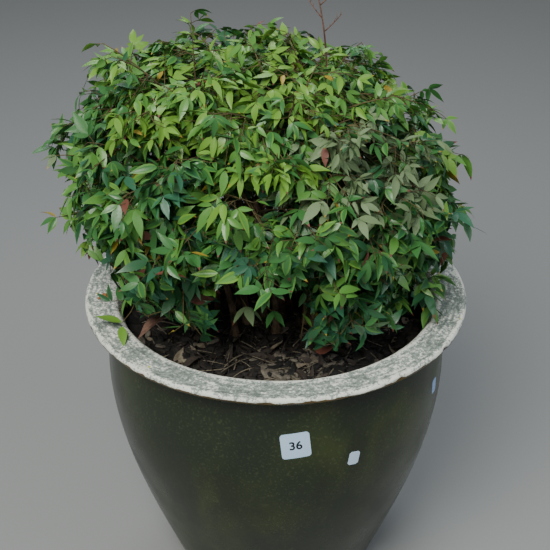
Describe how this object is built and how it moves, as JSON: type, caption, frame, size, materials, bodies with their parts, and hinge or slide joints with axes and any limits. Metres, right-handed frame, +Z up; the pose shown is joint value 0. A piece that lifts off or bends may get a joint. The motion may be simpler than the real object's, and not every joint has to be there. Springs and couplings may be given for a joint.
{
  "type": "potted dwarf heavenly bamboo",
  "caption": "Dense rounded evergreen shrub of fine pointed leaflets on thin upright canes, growing in a tall glazed pot with a broad flat rim.",
  "frame": {"origin": "middle of the pot's flat underside", "axes": "+Z up along the pot's axis, -Y to the front, where the foliage parts over bare soil, +X to the right seen from the front"},
  "size_m": [0.5765, 0.52, 0.8603],
  "materials": {
    "glazed_stoneware": "dark olive green gloss glaze on the body, bare weathered stoneware rim",
    "bark_mulch": "dark composted bark and leaf litter",
    "cane_bark": "thin ridged brown bark",
    "leaves": "leathery green leaflets, yellow green at the top, a few red or dry"
  },
  "bodies": {
    "root": {"pot": "glazed_stoneware", "soil": "bark_mulch", "cane_low_1": "cane_bark", "cane_low_2": "cane_bark", "cane_low_3": "cane_bark", "cane_low_4": "cane_bark", "cane_low_5": "cane_bark", "cane_low_6": "cane_bark", "cane_low_7": "cane_bark", "cane_mid_1": "cane_bark", "cane_mid_2": "cane_bark", "cane_mid_3": "cane_bark", "cane_mid_4": "cane_bark", "cane_mid_5": "cane_bark", "cane_mid_6": "cane_bark", "cane_mid_7": "cane_bark", "cane_top_1": "cane_bark", "cane_top_2": "cane_bark", "cane_top_3": "cane_bark", "cane_top_4": "cane_bark", "foliage_low_1": "leaves", "foliage_low_2": "leaves", "foliage_low_3": "leaves", "foliage_low_4": "leaves", "foliage_low_5": "leaves", "foliage_low_6": "leaves", "foliage_low_7": "leaves", "foliage_mid_1": "leaves", "foliage_mid_2": "leaves", "foliage_mid_3": "leaves", "foliage_mid_4": "leaves", "foliage_mid_5": "leaves", "foliage_mid_6": "leaves", "foliage_mid_7": "leaves", "foliage_top_1": "leaves", "foliage_top_2": "leaves", "foliage_top_3": "leaves", "foliage_top_4": "leaves"}
  },
  "joints": []
}
